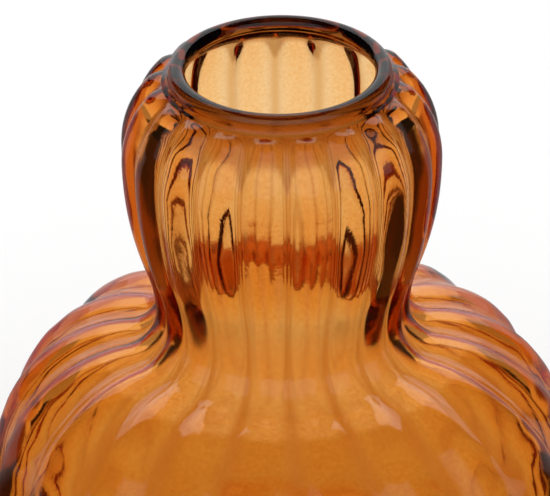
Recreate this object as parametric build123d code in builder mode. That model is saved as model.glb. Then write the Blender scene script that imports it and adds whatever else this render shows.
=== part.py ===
import os
from math import sqrt

from build123d import *

# Driving dimensions in millimetres, taken on the crests of the ribs
rib_count = 20
upper_rib_depth = 1.3
lower_rib_depth = 2.0
wall = 3.6
base_radius = 56.1
belly_swell = 37.0
belly_height = 49.9
shoulder_arc = 52.2
neck_arc = 12.2
waist_radius = 38.7
waist_arc = 43.1
flank_arc = 100.0
bulb_swell = 9.9
dome_arc = 32.7
lip_radius = 34.6
lip_width = 5.5
lip_rise = 3.4
pad_thickness = 5.0
foot_width = 6.5
hollow_radius = 42.0
hollow_depth = 1.5

# Radii and heights of the gourd that follow from its tangent arcs
belly_radius = base_radius + belly_swell
under_arc = (belly_swell**2 + belly_height**2) / (2 * belly_swell)
foot_radius = belly_radius - under_arc + sqrt(under_arc**2 - (belly_height - pad_thickness) ** 2)
neck_reach = waist_radius + neck_arc - (belly_radius - shoulder_arc)
waist_height = belly_height + sqrt((shoulder_arc + neck_arc) ** 2 - neck_reach**2)
bulb_radius = waist_radius + bulb_swell
bulb_height = waist_height + sqrt(2 * bulb_swell * (waist_arc + flank_arc) - bulb_swell**2)
lip_reach = lip_radius - (bulb_radius - dome_arc)
lip_height = bulb_height + sqrt(dome_arc**2 - lip_reach**2)

# Edges where the wall meets the pad below and the bead above
foot_outer = Vector(foot_radius, pad_thickness)
foot_inner = Vector(foot_radius - foot_width, pad_thickness)
lip_outer = Vector(lip_radius, lip_height)
lip_inner = Vector(lip_radius - lip_width, lip_height)

up = (0, 1)
down = (0, -1)
outward = (1, 0)


def hollow_start(bulge, bulge_arc, waist):
    # Point where a bulge's round arc passes smoothly into the hollow arc of the waist
    centre = bulge.X - bulge_arc
    rise = waist.Y - bulge.Y
    reach = waist.X - centre
    hollow_arc = (rise**2 + reach**2 - bulge_arc**2) / (2 * (bulge_arc - reach))
    share = bulge_arc / (bulge_arc + hollow_arc)
    return Vector(centre + (reach + hollow_arc) * share, bulge.Y + rise * share)


def wall_line(lower_inset, upper_inset, foot, lip):
    # Draws the gourd's side from foot to lip as six tangent arcs, set in from the rib crests
    belly = Vector(belly_radius - lower_inset, belly_height)
    waist = Vector(waist_radius - upper_inset, waist_height)
    bulb = Vector(bulb_radius - upper_inset, bulb_height)
    shoulder_end = hollow_start(belly, shoulder_arc - lower_inset, waist)
    flank_end = hollow_start(bulb, flank_arc - upper_inset, waist)
    TangentArc(belly, foot, tangent=down)
    TangentArc(belly, shoulder_end, tangent=up)
    TangentArc(waist, shoulder_end, tangent=down)
    TangentArc(waist, flank_end, tangent=up)
    TangentArc(bulb, flank_end, tangent=down)
    TangentArc(bulb, lip, tangent=up)


def side_plane(angle):
    # Upright plane through the vase's axis, with its first axis pointing outward
    return Plane.XZ.rotated((0, 0, angle))


# One rib: a lobe lofted from valley to crest to valley, solid inward to the cavity
rib_pitch = 360 / rib_count
rib_root = waist_radius / 2
rib_sides = (
    (0, lower_rib_depth, upper_rib_depth),
    (rib_pitch / 2, 0, 0),
    (rib_pitch, lower_rib_depth, upper_rib_depth),
)

with BuildPart() as rib:
    for angle, lower_depth, upper_depth in rib_sides:
        with BuildSketch(side_plane(angle)):
            with BuildLine():
                wall_line(lower_depth, upper_depth, foot_outer, lip_outer)
                Polyline(foot_outer, (rib_root, pad_thickness), (rib_root, lip_height), lip_outer)
            make_face()
    loft()

# The blown wall: ribs all round, hollowed out by a smooth cavity
with BuildPart() as gourd_body:
    with PolarLocations(0, rib_count):
        add(rib.part)
    with BuildSketch(Plane.XZ):
        with BuildLine():
            wall_line(wall, wall, foot_inner, lip_inner)
            Polyline(foot_inner, (0, pad_thickness), (0, lip_height), lip_inner)
        make_face()
    revolve(axis=Axis.Z, mode=Mode.SUBTRACT)

gourd_body.part.label = "gourd_body"

# The bead of glass wrapped round the mouth
with BuildPart() as lip_wrap:
    with BuildSketch(Plane.XZ):
        with BuildLine():
            ThreePointArc(lip_outer, (lip_radius - lip_width / 2, lip_height + lip_rise), lip_inner)
            Line(lip_inner, lip_outer)
        make_face()
    revolve(axis=Axis.Z)

lip_wrap.part.label = "lip_wrap"

# The thick foot, with a flat standing ring round a shallow polished hollow
with BuildPart() as base_pad:
    with BuildSketch(Plane.XZ):
        with BuildLine():
            RadiusArc(foot_outer, (base_radius, 0), under_arc)
            Line((base_radius, 0), (hollow_radius, 0))
            TangentArc((0, hollow_depth), (hollow_radius, 0), tangent=outward)
            Polyline((0, hollow_depth), (0, pad_thickness), foot_outer)
        make_face()
    revolve(axis=Axis.Z)

base_pad.part.label = "base_pad"

os.makedirs("parts", exist_ok=True)
for piece in (gourd_body.part, lip_wrap.part, base_pad.part):
    export_step(piece, f"parts/{piece.label}.step")
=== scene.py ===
import math

import bpy
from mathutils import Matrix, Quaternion, Vector, kdtree, noise


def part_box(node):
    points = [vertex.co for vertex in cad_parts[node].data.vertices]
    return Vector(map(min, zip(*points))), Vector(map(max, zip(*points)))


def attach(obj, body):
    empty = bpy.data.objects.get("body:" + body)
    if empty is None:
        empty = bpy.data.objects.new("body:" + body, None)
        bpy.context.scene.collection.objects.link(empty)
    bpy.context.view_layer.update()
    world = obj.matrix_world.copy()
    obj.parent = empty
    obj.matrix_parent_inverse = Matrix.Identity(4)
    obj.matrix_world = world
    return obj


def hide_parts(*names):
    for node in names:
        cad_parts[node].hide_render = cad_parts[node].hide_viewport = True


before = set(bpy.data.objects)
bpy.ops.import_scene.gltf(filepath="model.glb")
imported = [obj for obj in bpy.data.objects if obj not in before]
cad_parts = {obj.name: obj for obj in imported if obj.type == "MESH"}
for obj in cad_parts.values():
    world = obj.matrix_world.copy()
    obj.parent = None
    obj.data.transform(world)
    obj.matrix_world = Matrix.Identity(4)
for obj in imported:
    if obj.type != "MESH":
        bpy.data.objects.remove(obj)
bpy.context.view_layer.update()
print("frame loaded", sorted(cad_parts))

scene = bpy.context.scene
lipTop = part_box("lip_wrap")[1].z


def deselectAll():
    if bpy.context.mode != "OBJECT":
        bpy.ops.object.mode_set(mode="OBJECT")
    bpy.ops.object.select_all(action="DESELECT")


def smoothStep(low, high, value):
    share = min(max((value - low) / (high - low), 0.0), 1.0)
    return share * share * (3.0 - 2.0 * share)


def passing(span, z, base=0.0):
    # 0 before the span and 1 past it, with both of its ends measured from the base height
    return smoothStep(base + span[0], base + span[1], z)


def heading(start, end):
    return (Vector(end) - Vector(start)).normalized()


def arcPoints(centre, radius, startDeg, endDeg, steps):
    # points along a round stretch, the first one left out because the stretch before ends there
    points = []
    for step in range(1, steps + 1):
        angle = math.radians(startDeg + (endDeg - startDeg) * step / steps)
        points.append((centre[0] + radius * math.cos(angle), centre[1] + radius * math.sin(angle)))
    return points


def sweepPoints(first, leave, last, arrive, steps, pullShare):
    # a soft bend from one stretch to the next, along the way that both point at their ends
    first = Vector(first)
    last = Vector(last)
    pull = (last - first).length * pullShare
    guides = [first, first + leave * pull, last - arrive * pull, last]
    points = []
    for step in range(1, steps):
        share = step / steps
        line = guides
        while len(line) > 1:
            line = [a.lerp(b, share) for a, b in zip(line, line[1:])]
        points.append(tuple(line[0]))
    return points


# lengths in metres; a span is where one form or tint passes into the next, by height above the foot's plane
# unless a note says otherwise
vaseGlass = {
    "baseRadius": 0.0561,
    "bellyRadius": 0.09262,
    "bellyHeight": 0.0508,
    "shoulderArc": 0.0522,
    "neckArc": 0.0113,
    "waistRadius": 0.0397,
    "waistArc": 0.0431,
    "bulbRadius": 0.0491,
    "flankArc": 0.114,
    "domeArc": 0.0327,
    "domeTurnDeg": 54.0,
    "domeTopDeg": 8,  # last part of the dome, with finer steps
    "stepLength": 0.0018,
    "stepDeg": 2.05,
    "fewestSteps": 12,
    "lipTube": 0.00273,
    "lipCentreRadius": 0.0312,
    "lipDepth": 0.011,  # from the bead's middle down to where the throat ends
    "beadStartDeg": -10,
    "beadEndDeg": 195,
    "beadSteps": 22,
    "grooveSteps": 6,
    "throatSteps": 10,
    "sweepPull": 0.36,
    "hollowRadius": 0.042,
    "hollowDepth": 0.0015,
    "hollowSteps": 8,
    "ringSteps": 5,
    "floorHeight": 0.004,
    "floorRise": 0.0015,  # least height of the wall's inside over the floor
    "floorSteps": 12,
    "floorCurve": 4,
    "weldReach": 0.000005,
    "waistWall": 0.0045,
    "neckWall": 0.0036,
    "lowerWall": 0.0038,
    "upperWall": 0.0028,
    "domeWall": 0.0044,
    "lipWall": 0.0036,
    "neckWallSpan": (-0.002, -0.010),  # from the waist
    "lowerWallSpan": (-0.010, -0.036),  # from the waist
    "upperWallSpan": (-0.004, 0.017),  # from the waist
    "domeWallSpan": (-0.040, -0.015),  # from the bulb's widest line
    "lipWallSpan": (0.010, 0.024),  # from the bulb's widest line
    "ribCount": 20,
    "columnsPerRib": 12,
    "valleyCrowding": 0.45,
    "twistDeg": 4.0,
    "twistEnd": 0.05,
    "upperRibDepth": 0.0024,
    "waistRibDepth": 0.0016,
    "lowerRibDepth": 0.0028,
    "upperRibSpan": (0.0, 0.03),  # from the waist
    "lowerRibSpan": (0.002, -0.030),  # from the waist
    "upperCrest": 0.8,
    "lowerCrest": 0.55,
    "crestSpan": (-0.03, 0.01),  # from the waist
    "innerRibShare": 0.38,
    "lowerInnerShare": 0.8,
    "innerShareSpan": (-0.02, 0.0),  # from the waist
    "ribFootSpan": (0.004, 0.022),
    "collarHeight": 0.0038,
    "collarFlat": 0.0002,
    "throatFade": 0.002,
    # painted shade on the bead: near black, for the dark surroundings that the bead shows
    "lipShadeSpan": (-0.001, 0.0014),  # from the bead's middle
    # painted shade: brown on the collar and down the throat, reaching lower in the valleys, for the dark
    # that the thick glass under the lip shows by reflecting inside
    "collarShadeReach": 0.0045,
    "throatShadeReach": 0.012,
    "throatShadeFingers": 0.007,
    "collarShadeSoftness": 0.003,
    # painted shade: darker amber in the rib valleys
    "valleyShadeSpan": (0.01, 0.03),
    "satinStart": (-0.012, -0.006),  # from the waist
    "satinEnd": (0.02, 0.01),  # from the waist
    "outerBandDrop": 0.0126,  # from the waist down to where the painted lower shade begins
    "innerBandDrop": 0.0156,
    "bandFingers": 0.0008,
    "bandSoftness": 0.0006,
    # painted shade: deeper amber below the waist band, for the shadowed floor seen through the lower bulb,
    # weaker towards the foot
    "lowerShadeLeast": 0.6,
    "lowerShadeSpan": (0.035, 0.075),
    "wobble": 0.00018,
    "wobbleSize": 0.034,
    "wobbleLean": 0.5,  # leans the wobble into the glass, which so keeps its size
    "ripple": 0.00003,
    "rippleSize": 0.013,
    "rippleStretch": 0.4,
    "upperRippleSpan": (0.082, 0.102),
    "lowerRipple": 0.00024,
    "lowerRippleSize": 0.0075,
    "lowerRippleSpan": (0.012, 0.045),
    "rippleOffset": (7.3, 2.1, 5.9),
    "footCalm": (0.002, 0.01),
    "lipCalm": (0.0, -0.008),  # from the top of the lip
}


def wallThickness(shape, z, waistZ, bulbZ):
    # thick where the glass was gathered at the waist and rolled at the lip, thin where it was blown out
    thickness = shape["waistWall"]
    bases = (waistZ, waistZ, waistZ, bulbZ, bulbZ)
    for wall, base in zip(("neckWall", "lowerWall", "upperWall", "domeWall", "lipWall"), bases):
        thickness += (shape[wall] - thickness) * passing(shape[wall + "Span"], z, base)
    return thickness


def vaseOutline(shape):
    # half outline from the middle of the foot, up the outside, over the lip and down the inside
    belly = shape["bellyRadius"]
    bellyZ = shape["bellyHeight"]
    shoulder = shape["shoulderArc"]
    neck = shape["neckArc"]
    waist = shape["waistRadius"]
    bulb = shape["bulbRadius"]
    flank = shape["flankArc"]
    dome = shape["domeArc"]
    domeTurn = shape["domeTurnDeg"]
    reach = waist + neck - (belly - shoulder)
    waistZ = bellyZ + math.sqrt((shoulder + neck) ** 2 - reach**2)
    shoulderTurn = math.degrees(math.acos(reach / (shoulder + neck)))
    swell = bulb - waist
    flankSum = shape["waistArc"] + flank
    bulbZ = waistZ + math.sqrt(2 * swell * flankSum - swell**2)
    flankTurn = math.degrees(math.asin((bulbZ - waistZ) / flankSum))
    overhang = belly - shape["baseRadius"]
    under = (overhang**2 + bellyZ**2) / (2 * overhang)
    underTurn = math.degrees(math.asin(bellyZ / under))
    topStart = domeTurn - shape["domeTopDeg"]
    # centre, radius, start and end of each round stretch, and which way its outside faces
    arcs = [
        ((belly - under, bellyZ), under, -underTurn, 0, 1),
        ((belly - shoulder, bellyZ), shoulder, 0, shoulderTurn, 1),
        ((waist + neck, waistZ), neck, 180 + shoulderTurn, 180, -1),
        ((waist + shape["waistArc"], waistZ), shape["waistArc"], 180, 180 - flankTurn, -1),
        ((bulb - flank, bulbZ), flank, -flankTurn, 0, 1),
        ((bulb - dome, bulbZ), dome, 0, topStart, 1),
        ((bulb - dome, bulbZ), dome, topStart, domeTurn, 1),
    ]
    outer = []
    inner = []
    for centre, radius, start, end, facing in arcs:
        turn = abs(end - start)
        wanted = max(turn / shape["stepDeg"], radius * math.radians(turn) / shape["stepLength"])
        steps = max(round(wanted), shape["fewestSteps"])
        for x, z in arcPoints(centre, radius, start, end, steps):
            outer.append((x, z))
            share = facing * wallThickness(shape, z, waistZ, bulbZ) / radius
            inner.append((x + (centre[0] - x) * share, z + (centre[1] - z) * share))

    foot = [(0.0, shape["hollowDepth"])]
    hollow = shape["hollowRadius"]
    for step in range(1, shape["hollowSteps"] + 1):
        share = step / shape["hollowSteps"]
        foot.append((hollow * share, shape["hollowDepth"] * (1 - share**2)))
    for step in range(1, shape["ringSteps"] + 1):
        foot.append((hollow + (shape["baseRadius"] - hollow) * step / shape["ringSteps"], 0.0))

    # a soft groove leads from the dome, pressed in at its top, to the bead, and a soft bend into the throat
    lipZ = lipTop - shape["lipTube"]
    lipCentre = (shape["lipCentreRadius"], lipZ)
    turn = math.radians(domeTurn)
    depth = shape["upperRibDepth"]
    collar = (outer[-1][0] - depth * math.cos(turn), outer[-1][1] - depth * math.sin(turn))
    beadTurn = (shape["beadStartDeg"], shape["beadEndDeg"])
    bead = arcPoints(lipCentre, shape["lipTube"], *beadTurn, shape["beadSteps"])
    lowest = shape["floorHeight"] + shape["floorRise"]
    highest = lipZ - shape["lipDepth"]
    inner = [point for point in reversed(inner) if lowest < point[1] < highest]
    leave = heading(outer[-2], outer[-1])
    arrive = heading(bead[0], bead[1])
    groove = sweepPoints(collar, leave, bead[0], arrive, shape["grooveSteps"], shape["sweepPull"])
    leave = heading(bead[-2], bead[-1])
    arrive = heading(inner[0], inner[1])
    throat = sweepPoints(bead[-1], leave, inner[0], arrive, shape["throatSteps"], shape["sweepPull"])

    edgeRadius, edgeZ = inner[-1]
    floor = []
    for step in range(1, shape["floorSteps"] + 1):
        share = step / shape["floorSteps"]
        rise = (edgeZ - shape["floorHeight"]) * (1 - share) ** shape["floorCurve"]
        floor.append((edgeRadius * (1 - share), shape["floorHeight"] + rise))
    outline = foot + outer + groove + bead + throat + inner + floor
    outerEnd = len(foot) + len(outer)
    throatStart = outerEnd + len(groove) + len(bead)
    marks = {"outerEnd": outerEnd, "throatStart": throatStart, "innerStart": throatStart + len(throat)}
    marks["topRow"] = max(range(len(outline)), key=lambda row: outline[row][1])
    return outline, marks, waistZ


def buildVase(shape):
    outline, marks, waistZ = vaseOutline(shape)
    deselectAll()
    bpy.ops.mesh.primitive_plane_add(size=0.01, location=(0, 0, 0))
    vase = bpy.context.object
    vase.name = "vase_glass"
    bpy.ops.object.mode_set(mode="EDIT")
    bpy.ops.mesh.select_all(action="SELECT")
    bpy.ops.mesh.merge(type="CENTER")  # one point, drawn out along the outline
    bpy.ops.transform.translate(value=(outline[0][0], 0, outline[0][1]))
    for start, end in zip(outline, outline[1:]):
        bpy.ops.mesh.extrude_region_move(
            TRANSFORM_OT_translate={"value": (end[0] - start[0], 0, end[1] - start[1])}
        )
    bpy.ops.mesh.select_all(action="SELECT")
    columns = shape["ribCount"] * shape["columnsPerRib"]
    bpy.ops.mesh.spin(steps=columns, angle=math.tau, center=(0, 0, 0), axis=(0, 0, 1), use_auto_merge=True)
    bpy.ops.mesh.select_all(action="SELECT")
    bpy.ops.mesh.remove_doubles(threshold=shape["weldReach"])
    bpy.ops.mesh.normals_make_consistent(inside=False)
    bpy.ops.object.mode_set(mode="OBJECT")
    print("outline points", len(outline), "vertices", len(vase.data.vertices))
    pressRibs(vase, shape, outline, marks, waistZ)
    wobbleGlass(vase, shape)
    bpy.ops.object.shade_smooth()
    return vase


def ribValley(phase, roundStart):
    # 0 on a rib's crest and 1 in the valley, with the valley's bottom rounded
    across = abs(2.0 * phase - 1.0)
    if across < roundStart:
        return across**2 / roundStart
    past = across - roundStart
    return (roundStart**2 + 2 * roundStart * past - roundStart * past**2 / (1 - roundStart)) / roundStart


def glassTones(shape, z, valley, waistZ, lipZ, inThroat, onInside):
    # how much the glass takes of each painted shade, and at the waist of the satin finish
    collarEdge = lipZ - shape["collarShadeReach"]
    if inThroat:
        collarEdge = lipZ - (shape["throatShadeReach"] + shape["throatShadeFingers"] * valley**2)
    bandDrop = shape["innerBandDrop"] if onInside else shape["outerBandDrop"]
    bandEnd = waistZ - bandDrop - shape["bandFingers"] * (1 - valley)
    least = shape["lowerShadeLeast"]
    lower = least + (1 - least) * passing(shape["lowerShadeSpan"], z)
    return {
        # painted shade: near black on the bead
        "lipShadeTone": passing(shape["lipShadeSpan"], z, lipZ),
        # painted shade: brown on the collar and down the throat
        "collarShadeTone": smoothStep(collarEdge, collarEdge + shape["collarShadeSoftness"], z),
        # painted shade: darker in the rib valleys
        "valleyShadeTone": valley**3 * passing(shape["valleyShadeSpan"], z),
        "waistShadeTone": passing(shape["satinStart"], z, waistZ) * passing(shape["satinEnd"], z, waistZ),
        # painted shade: deeper amber below the waist band
        "lowerShadeTone": lower * smoothStep(bandEnd, bandEnd - shape["bandSoftness"], z),
    }


def pressRibs(vase, shape, outline, marks, waistZ):
    # weights for the valleys, which displacements then press in square to the wall, less on the inside
    outerGroup = vase.vertex_groups.new(name="outerValleys")
    innerGroup = vase.vertex_groups.new(name="innerValleys")
    pitch = math.tau / shape["ribCount"]
    lipZ = lipTop - shape["lipTube"]
    outerTop = outline[marks["outerEnd"] - 1][1]
    innerTop = outline[marks["innerStart"]][1]
    deepest = max(shape["upperRibDepth"], shape["lowerRibDepth"])
    nearest = kdtree.KDTree(len(outline))
    for index, (r, z) in enumerate(outline):
        nearest.insert((r, 0, z), index)
    nearest.balance()
    tones = {}
    for vertex in vase.data.vertices:
        x, y, z = vertex.co
        radius = math.hypot(x, y)
        angle = math.atan2(y, x)
        phase = (angle / pitch) % 1.0
        row = nearest.find((radius, 0, z))[1]
        onInside = row >= marks["throatStart"]
        # columns crowd towards the valleys, and the ribs turn a little on their way down
        crowd = -shape["valleyCrowding"] * math.sin(math.tau * phase) / math.tau
        twist = math.radians(shape["twistDeg"]) * smoothStep(waistZ, shape["twistEnd"], z)
        turned = angle + crowd * pitch + twist
        vertex.co.x = radius * math.cos(turned)
        vertex.co.y = radius * math.sin(turned)
        crest = shape["lowerCrest"]
        crest += (shape["upperCrest"] - crest) * passing(shape["crestSpan"], z, waistZ)
        valley = ribValley((phase + crowd) % 1.0, crest)
        inThroat = row > marks["topRow"]
        for name, tone in glassTones(shape, z, valley, waistZ, lipZ, inThroat, onInside).items():
            tones.setdefault(name, []).append(tone)
        if marks["outerEnd"] <= row < marks["throatStart"]:
            continue  # the groove and the bead stay round
        depth = shape["waistRibDepth"]
        depth += (shape["lowerRibDepth"] - depth) * passing(shape["lowerRibSpan"], z, waistZ)
        depth += (shape["upperRibDepth"] - depth) * passing(shape["upperRibSpan"], z, waistZ)
        if onInside:
            share = shape["lowerInnerShare"]
            share += (shape["innerRibShare"] - share) * passing(shape["innerShareSpan"], z, waistZ)
            throat = smoothStep(lipZ - shape["throatFade"], innerTop - shape["throatFade"], z)
            press = valley * share * throat
        else:
            collar = smoothStep(outerTop - shape["collarHeight"], outerTop - shape["collarFlat"], z)
            press = valley + (1 - valley) * collar
        weight = press * passing(shape["ribFootSpan"], z) * depth / deepest
        group = innerGroup if onInside else outerGroup
        group.add([vertex.index], weight, "REPLACE")
    for name, strength in (("outerValleys", -deepest), ("innerValleys", deepest)):
        press = vase.modifiers.new(name, "DISPLACE")
        press.vertex_group = name
        press.mid_level = 0.0
        press.strength = strength
        bpy.ops.object.modifier_apply(modifier=name)
    for name, values in tones.items():
        attribute = vase.data.attributes.new(name, "FLOAT", "POINT")
        attribute.data.foreach_set("value", values)


def wobbleGlass(vase, shape):
    # slow wobbles and finer ripples of hand-worked glass, fading out at the foot and the lip
    normals = [vertex.normal.copy() for vertex in vase.data.vertices]
    offset = Vector(shape["rippleOffset"])
    stretch = shape["rippleStretch"]
    for vertex, normal in zip(vase.data.vertices, normals):
        z = vertex.co.z
        fine = vertex.co / shape["rippleSize"]
        wobble = noise.noise(vertex.co / shape["wobbleSize"]) - shape["wobbleLean"]
        upperRipple = noise.noise(Vector((fine.x * stretch, fine.y * stretch, fine.z)) + offset)
        lowerRipple = noise.noise(vertex.co / shape["lowerRippleSize"] + offset)
        upperShare = passing(shape["upperRippleSpan"], z)
        lowerShare = (1 - upperShare) * passing(shape["lowerRippleSpan"], z)
        amount = shape["wobble"] * wobble
        amount += shape["ripple"] * upperRipple * upperShare
        amount += shape["lowerRipple"] * lowerRipple * lowerShare
        fade = passing(shape["footCalm"], z) * passing(shape["lipCalm"], z, lipTop)
        vertex.co += normal * amount * fade


vase = buildVase(vaseGlass)


def feed(tree, socket, value):
    # a link where the value comes out of another node, otherwise a fixed number or colour
    if isinstance(value, bpy.types.NodeSocket):
        tree.links.new(value, socket)
    else:
        socket.default_value = value


def calculate(tree, operation, *values):
    node = tree.nodes.new("ShaderNodeMath")
    node.operation = operation
    for socket, value in zip(node.inputs, values):
        feed(tree, socket, value)
    return node.outputs[0]


def mapRange(tree, value, start, end, low=0.0, high=1.0, soft=True):
    node = tree.nodes.new("ShaderNodeMapRange")
    node.interpolation_type = "SMOOTHSTEP" if soft else "LINEAR"
    feed(tree, node.inputs["Value"], value)
    node.inputs["From Min"].default_value = start
    node.inputs["From Max"].default_value = end
    node.inputs["To Min"].default_value = low
    node.inputs["To Max"].default_value = high
    return node.outputs["Result"]


def mixColours(tree, factor, first, second, blend="MIX"):
    node = tree.nodes.new("ShaderNodeMix")
    node.data_type = "RGBA"
    node.blend_type = blend
    feed(tree, node.inputs["Factor"], factor)
    feed(tree, node.inputs["A"], first)
    feed(tree, node.inputs["B"], second)
    return node.outputs["Result"]


def mixShaders(tree, factor, first, second):
    node = tree.nodes.new("ShaderNodeMixShader")
    for socket, value in zip(node.inputs, (factor, first, second)):
        tree.links.new(value, socket)
    return node.outputs[0]


def moreThanNone(tree, depth):
    # 1 where the ray has already bounced in the way that this depth counts, otherwise 0
    return calculate(tree, "GREATER_THAN", depth, 0.5)


amberGlass = {
    "ior": 1.52,
    "polished": 0.02,
    "dulled": 0.06,
    "dullScale": 60.0,
    "dullDetail": 2.0,
    "dullSpan": (0.3, 0.7),
    "waistDulled": 0.10,
    "clearTint": (1.0, 0.965, 0.87, 1.0),
    "mottleTint": (0.92, 0.76, 0.52, 1.0),
    "mottleScale": 900.0,
    "mottleDetail": 3.0,
    "mottleSpan": (0.42, 0.75),
    # painted shade below the waist, deeper amber
    "lowerTint": (0.86, 0.73, 0.42, 1.0),
    # painted shade in the rib valleys
    "valleyTint": (0.80, 0.60, 0.36, 1.0),
    # painted shade under the lip, brown
    "collarTint": (0.45, 0.26, 0.11, 1.0),
    # painted shade on the lip, near black
    "lipTint": (0.12, 0.095, 0.08, 1.0),
    "absorbColour": (0.944, 0.607, 0.046, 1.0),
    "absorbDensity": 315.0,
    "stippleScale": 1100.0,
    "stippleDetail": 1.0,
    "stippleDepth": 0.000006,
}


def makeAmberGlass(finish):
    material = bpy.data.materials.new("amberGlass")
    material.use_nodes = True
    tree = material.node_tree
    nodes = tree.nodes
    links = tree.links
    shader = nodes["Principled BSDF"]
    place = nodes.new("ShaderNodeTexCoord")

    def grain(name):
        node = nodes.new("ShaderNodeTexNoise")
        node.inputs["Scale"].default_value = finish[name + "Scale"]
        node.inputs["Detail"].default_value = finish[name + "Detail"]
        links.new(place.outputs["Object"], node.inputs["Vector"])
        return node.outputs["Fac"]

    def tone(name):
        node = nodes.new("ShaderNodeAttribute")
        node.attribute_name = name
        return node.outputs["Fac"]

    # a pale mottled amber with painted shade: deeper amber below the waist, darker in the valleys, brown
    # under the lip and near black on it
    mottle = mapRange(tree, grain("mottle"), *finish["mottleSpan"], soft=False)
    tint = mixColours(tree, mottle, finish["clearTint"], finish["mottleTint"])
    tint = mixColours(tree, tone("lowerShadeTone"), tint, finish["lowerTint"], "MULTIPLY")
    for name in ("valley", "collar", "lip"):
        tint = mixColours(tree, tone(name + "ShadeTone"), tint, finish[name + "Tint"])
    links.new(tint, shader.inputs["Base Color"])
    shader.inputs["Transmission Weight"].default_value = 1.0
    shader.inputs["IOR"].default_value = finish["ior"]
    # polished, with duller clouds and a satin waist
    roughness = (finish["polished"], finish["dulled"])
    dull = mapRange(tree, grain("dull"), *finish["dullSpan"], *roughness, soft=False)
    satin = calculate(tree, "MULTIPLY_ADD", tone("waistShadeTone"), finish["waistDulled"], dull)
    links.new(satin, shader.inputs["Roughness"])
    # fine stipple that the mould leaves in the skin of the glass
    skin = nodes.new("ShaderNodeBump")
    skin.inputs["Strength"].default_value = 1.0
    skin.inputs["Distance"].default_value = finish["stippleDepth"]
    links.new(grain("stipple"), skin.inputs["Height"])
    links.new(skin.outputs["Normal"], shader.inputs["Normal"])
    absorb = nodes.new("ShaderNodeVolumeAbsorption")
    absorb.inputs["Color"].default_value = finish["absorbColour"]
    absorb.inputs["Density"].default_value = finish["absorbDensity"]
    links.new(absorb.outputs["Volume"], nodes["Material Output"].inputs["Volume"])
    return material


vase.data.materials.clear()
vase.data.materials.append(makeAmberGlass(amberGlass))
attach(vase, "root")
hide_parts("gourd_body", "lip_wrap", "base_pad")
print("vase built")

# half angles are taken from straight behind the vase, and for the front light from straight before it;
# the heights of the backdrop and the front light are the upward part of a direction
studio = {
    "floorSize": 12.0,
    "floorColour": (0.85, 0.85, 0.85, 1.0),
    "floorGlow": 0.75,  # share of the paper that shines when seen through the glass
    "glowLevel": 1.1,
    "floorMirrored": 0.02,
    "floorBehind": 0.6,
    "behindStart": 0.05,
    "behindEnd": 0.15,
    "behindHalfDeg": 25.0,
    "sideShare": 0.5,
    # painted dim amber shadow of the vase on the paper near it, seen by light that bounced inside the glass
    "paintedVaseShadow": (0.28, 0.11, 0.035, 1.0),
    "floorFar": (0.95, 0.85, 0.75, 1.0),
    "nearEnd": 0.42,
    "farStart": 0.75,
    "paperHalfDeg": 59.0,
    "besidePaper": (0.05, 0.03, 0.015, 1.0),
    "middleHalfDeg": 41.0,
    "paperMiddle": (0.80, 0.52, 0.33, 1.0),
    "paperLine": (0.03, 0.014, 0.006, 1.0),
    "lineStart": 0.200,
    "lineEnd": 0.222,
    "lineSoftness": 0.003,
    "sideSoftDeg": 4.0,
    "fillLevel": 1.25,
    "roomLevel": 0.015,
    "backdropLevel": 1.05,
    "backdropTop": 0.86,
    "backdropHalfDeg": 42.0,
    "backdropLowDeg": 23.0,
    "lowEnd": 0.15,
    "wideStart": 0.38,
    "frontLevel": 0.6,
    "frontBottom": 0.08,
    "frontTop": 0.80,
    "frontHalfDeg": 55.0,
    "frontSoftness": 0.2,
    "edgeSoftness": 0.02,
}


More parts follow.
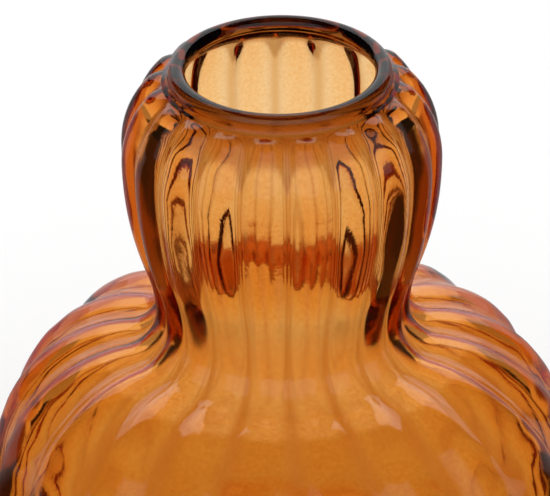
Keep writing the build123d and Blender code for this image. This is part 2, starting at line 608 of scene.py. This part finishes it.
def buildFloor(values):
    deselectAll()
    bpy.ops.mesh.primitive_plane_add(size=values["floorSize"], location=(0, 0, 0))
    floor = bpy.context.object
    floor.name = "studio_floor"
    material = bpy.data.materials.new("studioFloor")
    material.use_nodes = True
    tree = material.node_tree
    nodes = tree.nodes
    links = tree.links
    nodes.remove(nodes["Principled BSDF"])
    rays = nodes.new("ShaderNodeLightPath")
    spot = nodes.new("ShaderNodeTexCoord")
    split = nodes.new("ShaderNodeSeparateXYZ")
    links.new(spot.outputs["Object"], split.inputs[0])
    length = nodes.new("ShaderNodeVectorMath")
    length.operation = "LENGTH"
    links.new(spot.outputs["Object"], length.inputs[0])
    away = length.outputs["Value"]
    aside = calculate(tree, "ABSOLUTE", calculate(tree, "ARCTAN2", split.outputs["X"], split.outputs["Y"]))

    def within(halfDeg, outside=0.0):
        start = math.radians(halfDeg + values["sideSoftDeg"])
        end = math.radians(halfDeg - values["sideSoftDeg"])
        return mapRange(tree, aside, start, end, outside)

    # white paper as the camera sees it, brighter where it is seen through the glass
    shaded = nodes.new("ShaderNodeBsdfDiffuse")
    shaded.inputs["Color"].default_value = values["floorColour"]
    bright = nodes.new("ShaderNodeEmission")
    bright.inputs["Strength"].default_value = values["glowLevel"]
    glow = calculate(tree, "MULTIPLY", rays.outputs["Is Transmission Ray"], values["floorGlow"])
    paper = mixShaders(tree, glow, shaded.outputs[0], bright.outputs[0])
    # for light that bounced inside the glass: pale warm paper far off with a painted dim amber shadow of the
    # vase near it, dark beside it, its middle paler with a dark ring
    far = mapRange(tree, away, values["nearEnd"], values["farStart"])
    shadowedPaper = mixColours(tree, far, values["paintedVaseShadow"], values["floorFar"])
    shadowedPaper = mixColours(tree, within(values["paperHalfDeg"]), values["besidePaper"], shadowedPaper)
    softness = values["lineSoftness"]
    lineIn = mapRange(tree, away, values["lineStart"], values["lineStart"] + softness, soft=False)
    lineOut = mapRange(tree, away, values["lineEnd"], values["lineEnd"] - softness, soft=False)
    line = calculate(tree, "MULTIPLY", lineIn, lineOut)
    middle = mixColours(tree, line, values["paperMiddle"], values["paperLine"])
    inside = mixColours(tree, within(values["middleHalfDeg"]), shadowedPaper, middle)
    # for what the outside of the glass mirrors: dark in front of the vase and pale behind it
    levels = (values["floorMirrored"], values["floorBehind"])
    behind = mapRange(tree, split.outputs["Y"], values["behindStart"], values["behindEnd"], *levels)
    mirrored = calculate(tree, "MULTIPLY", behind, within(values["behindHalfDeg"], values["sideShare"]))
    inGlass = moreThanNone(tree, rays.outputs["Transmission Depth"])
    dim = nodes.new("ShaderNodeEmission")
    links.new(mixColours(tree, inGlass, mirrored, inside), dim.inputs["Color"])
    bounced = moreThanNone(tree, rays.outputs["Glossy Depth"])
    surface = mixShaders(tree, bounced, paper, dim.outputs[0])
    links.new(surface, nodes["Material Output"].inputs["Surface"])
    floor.data.materials.append(material)


def buildStudio(values):
    # white round about, and for what the glass mirrors a tall bright backdrop and a front light, in the dark
    world = bpy.data.worlds.new("studioWorld")
    scene.world = world
    world.use_nodes = True
    tree = world.node_tree
    nodes = tree.nodes
    links = tree.links
    rays = nodes.new("ShaderNodeLightPath")
    direction = nodes.new("ShaderNodeTexCoord")
    split = nodes.new("ShaderNodeSeparateXYZ")
    links.new(direction.outputs["Generated"], split.inputs[0])
    x, y, z = split.outputs
    soft = values["edgeSoftness"]

    def light(strength):
        node = nodes.new("ShaderNodeBackground")
        node.inputs["Color"].default_value = (1, 1, 1, 1)
        feed(tree, node.inputs["Strength"], strength)
        return node.outputs[0]

    # the backdrop widens upward, and goes on beside its lower part at a share of its level
    aside = calculate(tree, "ABSOLUTE", calculate(tree, "ARCTAN2", x, y))
    half = math.radians(values["backdropHalfDeg"])
    lowHalf = math.radians(values["backdropLowDeg"])
    side = mapRange(tree, z, values["lowEnd"], values["wideStart"], lowHalf, half, soft=False)
    inward = calculate(tree, "SUBTRACT", side, aside)
    below = mapRange(tree, z, values["backdropTop"] + soft, values["backdropTop"] - soft)
    wide = mapRange(tree, aside, half + soft, half - soft)
    narrow = calculate(tree, "MULTIPLY", mapRange(tree, inward, -soft, soft), 1.0 - values["sideShare"])
    behind = calculate(tree, "MULTIPLY", wide, calculate(tree, "ADD", narrow, values["sideShare"]))
    backdrop = calculate(tree, "MULTIPLY", below, behind)
    gain = calculate(tree, "MULTIPLY", backdrop, values["backdropLevel"])
    # the front light shows only on the outside of the glass
    above = mapRange(tree, z, values["frontBottom"] - soft, values["frontBottom"] + soft)
    under = mapRange(tree, z, values["frontTop"] + soft, values["frontTop"] - soft)
    toFront = calculate(tree, "ARCTAN2", x, calculate(tree, "MULTIPLY", y, -1.0))
    reach = math.radians(values["frontHalfDeg"])
    fade = values["frontSoftness"]
    across = mapRange(tree, calculate(tree, "ABSOLUTE", toFront), reach + fade, reach - fade)
    front = calculate(tree, "MULTIPLY", calculate(tree, "MULTIPLY", above, under), across)
    offGlass = calculate(tree, "LESS_THAN", rays.outputs["Transmission Depth"], 0.5)
    level = calculate(tree, "MULTIPLY", offGlass, values["frontLevel"])
    gain = calculate(tree, "ADD", gain, calculate(tree, "MULTIPLY", front, level))
    room = light(calculate(tree, "ADD", gain, values["roomLevel"]))
    mirrored = moreThanNone(tree, rays.outputs["Glossy Depth"])
    scattered = moreThanNone(tree, rays.outputs["Diffuse Depth"])
    seen = mixShaders(tree, mirrored, light(1.0), room)
    seen = mixShaders(tree, scattered, seen, light(values["fillLevel"]))
    links.new(seen, nodes["World Output"].inputs["Surface"])


buildFloor(studio)
buildStudio(studio)
print("studio built")

photoCamera = {
    "distance": 1.2,
    "elevationDeg": 28.41,
    "azimuthDeg": -2.2,
    "rollDeg": -0.55,
    "focalPixels": 4000.0,
    "imageSize": (550, 496),
    "lipPixel": (278.5, 72.3),  # where the middle of the bead's ring lies in the picture
    "sensorWidth": 36.0,
    "glassBounces": 32,
    "mirrorBounces": 16,
}


def placeCamera(values):
    azimuth = math.radians(values["azimuthDeg"])
    elevation = math.radians(values["elevationDeg"])
    lipCentre = Vector((0, 0, lipTop - vaseGlass["lipTube"]))
    back = Vector(
        (
            math.sin(azimuth) * math.cos(elevation),
            -math.cos(azimuth) * math.cos(elevation),
            math.sin(elevation),
        )
    )
    toLip = -back
    right = toLip.cross(Vector((0, 0, 1))).normalized()
    up = right.cross(toLip)
    roll = Quaternion(toLip, -math.radians(values["rollDeg"]))
    right.rotate(roll)
    up.rotate(roll)
    width, height = values["imageSize"]
    lipX = (values["lipPixel"][0] - width / 2) / values["focalPixels"]
    lipY = (height / 2 - values["lipPixel"][1]) / values["focalPixels"]
    aim = toLip - right * lipX - up * lipY
    lens = bpy.data.cameras.new("photoCamera")
    lens.sensor_width = values["sensorWidth"]
    lens.lens = values["focalPixels"] / width * lens.sensor_width
    camera = bpy.data.objects.new("photoCamera", lens)
    scene.collection.objects.link(camera)
    camera.location = lipCentre + back * values["distance"]
    camera.rotation_mode = "QUATERNION"
    camera.rotation_quaternion = roll @ aim.to_track_quat("-Z", "Y")
    scene.camera = camera


placeCamera(photoCamera)
scene.view_settings.view_transform = "Standard"
scene.cycles.max_bounces = photoCamera["glassBounces"]
scene.cycles.transmission_bounces = photoCamera["glassBounces"]
scene.cycles.glossy_bounces = photoCamera["mirrorBounces"]
print("camera placed")
